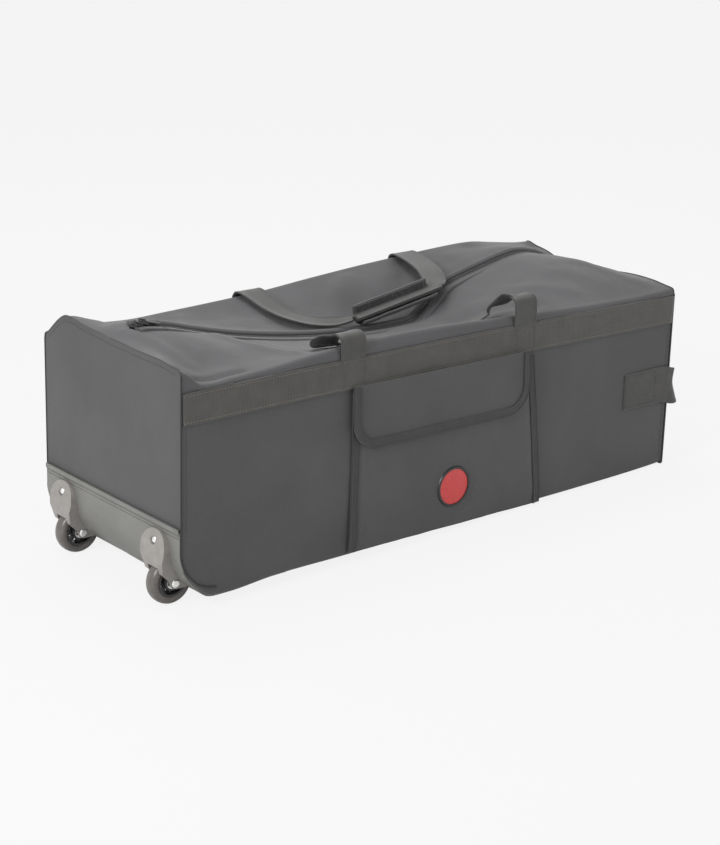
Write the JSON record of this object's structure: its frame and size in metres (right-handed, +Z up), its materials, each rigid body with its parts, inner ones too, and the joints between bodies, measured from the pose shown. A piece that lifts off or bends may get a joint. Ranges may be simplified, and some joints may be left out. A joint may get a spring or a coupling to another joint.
{
  "type": "wheeled duffel bag",
  "caption": "Long soft wheeled kit bag with split zipped top, carrying handles, flat front pocket under a flap, corner wheels and an end grab strap.",
  "frame": {"origin": "on the floor under the middle of the whole bag, as it stands on its wheels and the far edge of its base", "axes": "+X along the bag from the wheels to the grab strap, +Z up, the pocket side faces -Y"},
  "size_m": [1.1414, 0.4042, 0.4216],
  "materials": {
    "shell_fabric": "woven polyester, matt",
    "band_webbing": "ribbed polyester webbing",
    "handle_webbing": "ribbed polyester webbing",
    "kick_vinyl": "coated cloth, faint sheen",
    "board": "pressed sheet",
    "binding_tape": "folded binding tape",
    "housing_plastic": "moulded, fine grain",
    "well_plastic": "moulded, fine grain",
    "tyre_rubber": "soft urethane",
    "hub_plastic": "moulded nylon",
    "bearing_steel": "ground steel",
    "axle_steel": "turned steel",
    "rivet_steel": "bright plated",
    "zip_nylon": "woven tape with nylon coil",
    "slider_metal": "black enamel on die casting",
    "hook_loop": "webbing with hook-and-loop lining",
    "badge_red": "domed gloss",
    "badge_black": "gloss"
  },
  "bodies": {
    "shell": {"front_panel": "shell_fabric", "back_panel": "shell_fabric", "base_panel": "shell_fabric", "wheel_end_panel": "shell_fabric", "strap_end_panel": "shell_fabric", "base_board": "board", "end_board": "board", "kick_plate": "kick_vinyl", "front_band": "band_webbing", "back_band": "band_webbing", "corner_piping": "binding_tape", "pocket_pouch": "shell_fabric", "pocket_binding_left": "binding_tape", "pocket_binding_right": "binding_tape", "badge_rim": "badge_black", "badge_disc": "badge_red", "wheel_end_top": "shell_fabric", "strap_end_top": "shell_fabric", "zip_end_wheel": "zip_nylon", "zip_end_strap": "zip_nylon", "wheel_housing_front": "housing_plastic", "wheel_housing_rear": "housing_plastic", "wheel_well_front": "well_plastic", "wheel_well_rear": "well_plastic", "axle_front": "axle_steel", "axle_rear": "axle_steel", "housing_rivets": "rivet_steel", "grab_anchor_front": "band_webbing", "grab_anchor_back": "band_webbing"},
    "wheel_front": {"tyre_front": "tyre_rubber", "hub_front": "hub_plastic", "bearings_front": "bearing_steel", "bearing_spacer_front": "bearing_steel"},
    "wheel_rear": {"tyre_rear": "tyre_rubber", "hub_rear": "hub_plastic", "bearings_rear": "bearing_steel", "bearing_spacer_rear": "bearing_steel"},
    "front_lid": {"front_lid": "shell_fabric", "zip_track_front": "zip_nylon"},
    "rear_lid": {"rear_lid": "shell_fabric", "zip_track_rear": "zip_nylon"},
    "front_handle": {"front_handle": "handle_webbing"},
    "rear_handle": {"rear_handle": "handle_webbing", "grip_wrap": "hook_loop"},
    "wrap_flap": {"wrap_flap": "hook_loop"},
    "zip_slider": {"zip_slider": "slider_metal"},
    "zip_pull": {"zip_pull": "slider_metal"},
    "pocket_flap": {"flap_panel": "shell_fabric", "flap_binding": "binding_tape"},
    "grab_loop": {"grab_loop": "handle_webbing"}
  },
  "joints": [
    {"name": "wheel_spin_front", "type": "hinge", "parent": "shell", "child": "wheel_front", "pos_m": [-0.53273, -0.12873, 0.038], "axis": [0, 1, 0], "continuous": true},
    {"name": "wheel_spin_rear", "type": "hinge", "parent": "shell", "child": "wheel_rear", "pos_m": [-0.53273, 0.13928, 0.038], "axis": [0, 1, 0], "continuous": true},
    {"name": "front_lid_hinge", "type": "hinge", "parent": "shell", "child": "front_lid", "pos_m": [-0.00409, -0.19153, 0.33904], "axis": [-0.9994, 0, 0.0343], "range_deg": [-75, 0]},
    {"name": "rear_lid_hinge", "type": "hinge", "parent": "shell", "child": "rear_lid", "pos_m": [-0.00409, 0.20208, 0.33904], "axis": [0.9994, 0, -0.0343], "range_deg": [-75, 0]},
    {"name": "front_handle_hinge", "type": "hinge", "parent": "front_lid", "child": "front_handle", "pos_m": [-0.00409, -0.19153, 0.33904], "axis": [0.9994, 0, -0.0343], "range_deg": [0, 165]},
    {"name": "rear_handle_hinge", "type": "hinge", "parent": "rear_lid", "child": "rear_handle", "pos_m": [-0.00409, 0.20208, 0.33904], "axis": [-0.9994, 0, 0.0343], "range_deg": [0, 165]},
    {"name": "wrap_flap_hinge", "type": "hinge", "parent": "rear_handle", "child": "wrap_flap", "pos_m": [-0.04734, 0.03358, 0.34281], "axis": [0.9975, 0, 0.0704], "range_deg": [0, 90]},
    {"name": "zip_slider_travel", "type": "hinge", "parent": "shell", "child": "zip_slider", "pos_m": [0.09395, 0.00528, 2.00626], "axis": [0, -1, 0], "range_deg": [0, 18.47]},
    {"name": "zip_pull_hinge", "type": "hinge", "parent": "zip_slider", "child": "zip_pull", "pos_m": [-0.47786, 0.00528, 0.417], "axis": [0, -1, 0], "range_deg": [0, 150]},
    {"name": "pocket_flap_hinge", "type": "hinge", "parent": "shell", "child": "pocket_flap", "pos_m": [-0.00582, -0.20208, 0.28877], "axis": [-0.9994, 0, 0.0343], "range_deg": [0, 100]},
    {"name": "grab_loop_hinge", "type": "hinge", "parent": "shell", "child": "grab_loop", "pos_m": [0.52502, 0.00528, 0.15829], "axis": [0, -1, 0], "range_deg": [-14, 48]}
  ]
}
